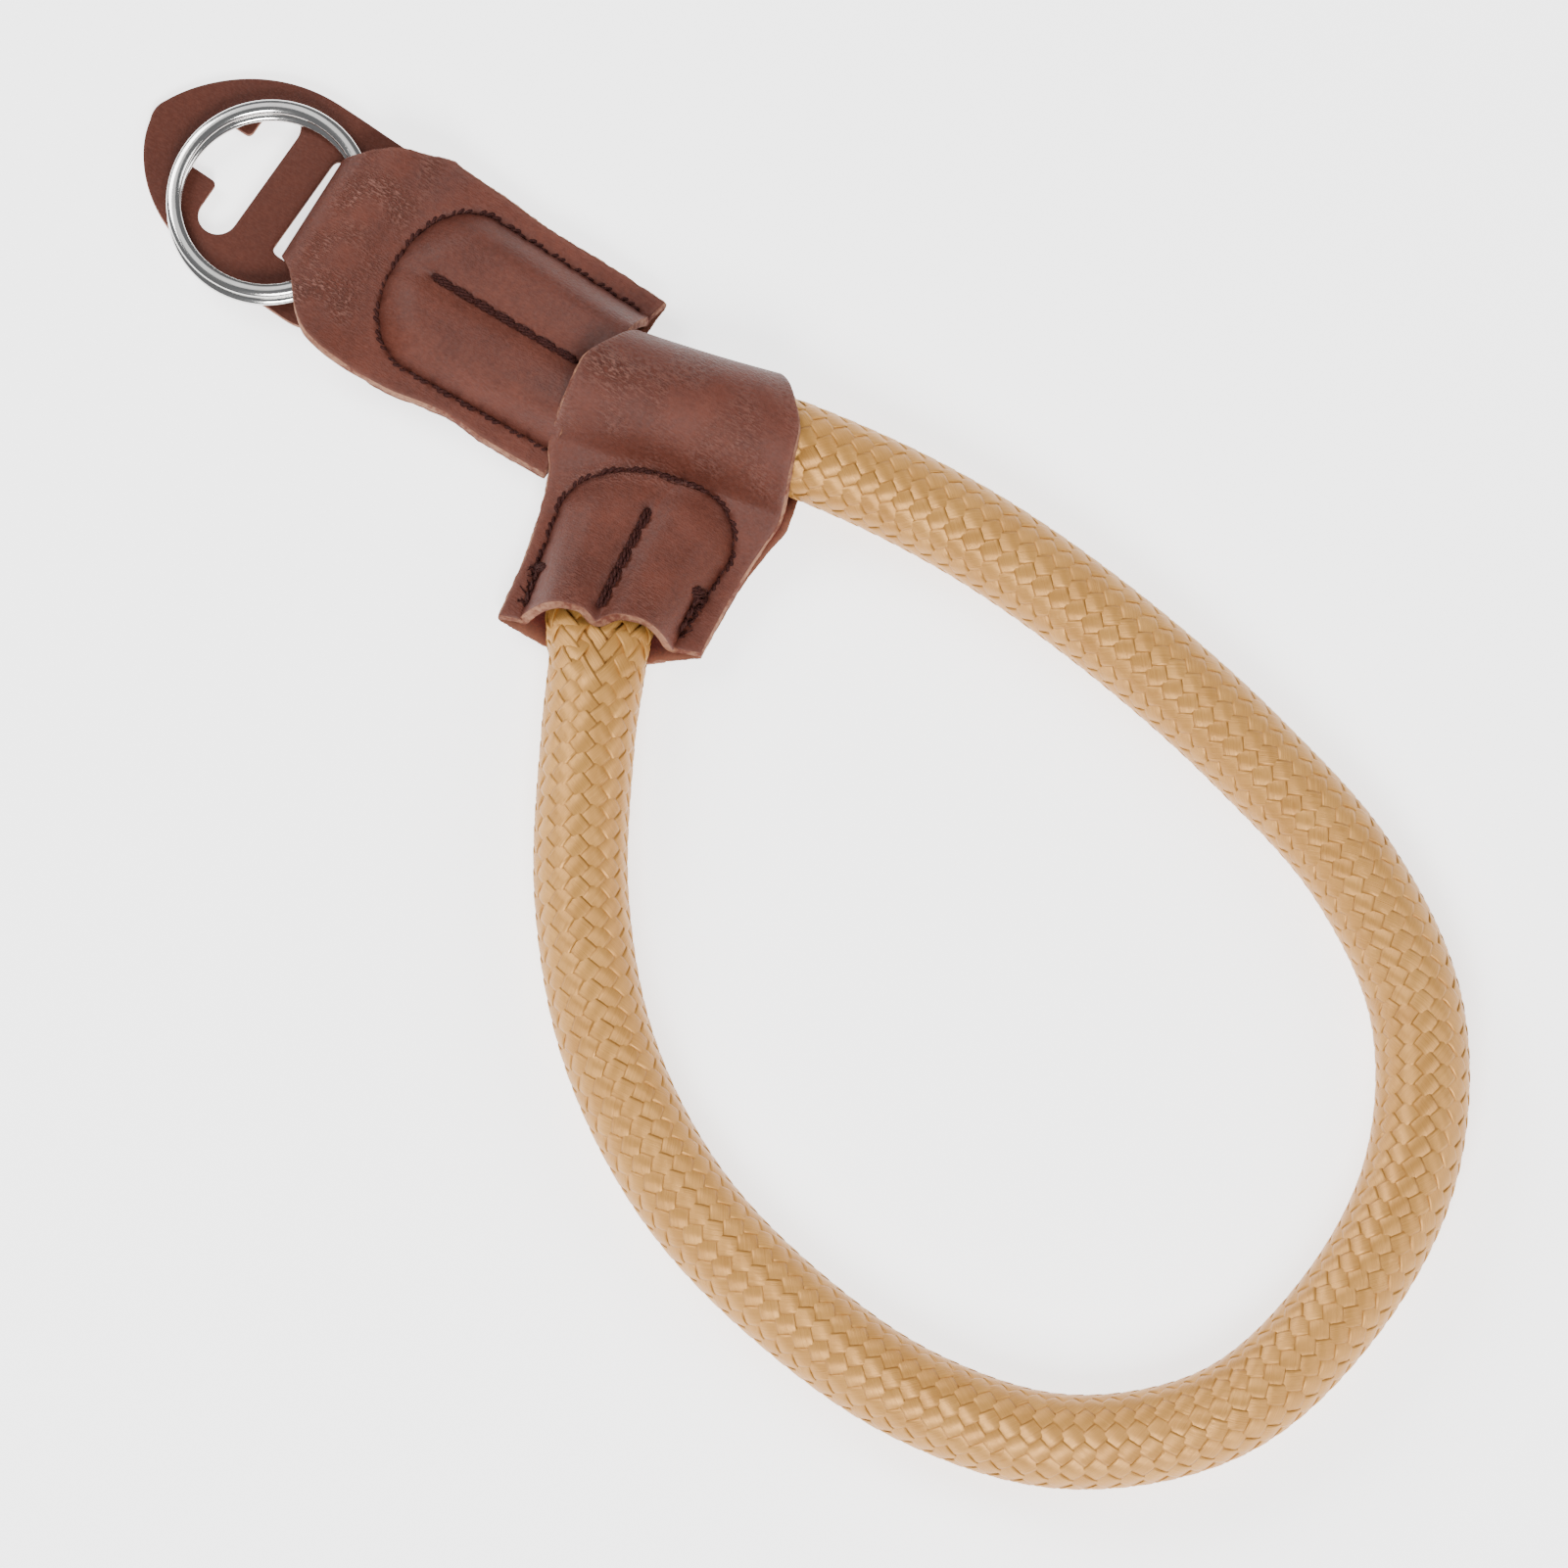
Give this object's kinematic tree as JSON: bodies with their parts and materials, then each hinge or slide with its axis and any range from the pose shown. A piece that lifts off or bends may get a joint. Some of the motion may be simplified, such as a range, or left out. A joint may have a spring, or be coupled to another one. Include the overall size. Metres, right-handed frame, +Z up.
{
  "type": "camera wrist strap",
  "caption": "Wrist strap for a camera: a loop of braided rope sewn into a folded leather tab and keeper, with a leather guard and a steel split ring.",
  "frame": {"origin": "under the middle of the tab's flat belly, on the surface that the strap lies on", "axes": "+X along the leather tab from the split ring towards the rope, +Z up, +Y across the tab, away from the keeper's pocket"},
  "size_m": [0.2057, 0.1062, 0.0145],
  "materials": {
    "braided_rope": "satin braid of flat filament bundles",
    "brown_leather": "smooth full grain, semi-gloss",
    "guard_leather": "smooth, slightly flatter than the tab",
    "ring_steel": "polished"
  },
  "bodies": {
    "strap": {"rope": "braided_rope", "leather_tab": "brown_leather", "leather_keeper": "brown_leather", "leather_guard": "guard_leather"},
    "ring": {"split_ring": "ring_steel"}
  },
  "joints": [
    {"name": "ring_spin", "type": "hinge", "parent": "strap", "child": "ring", "pos_m": [-0.0319, -0.0021, 0.0028], "axis": [-0.0872, 0, 0.9962], "continuous": true}
  ]
}
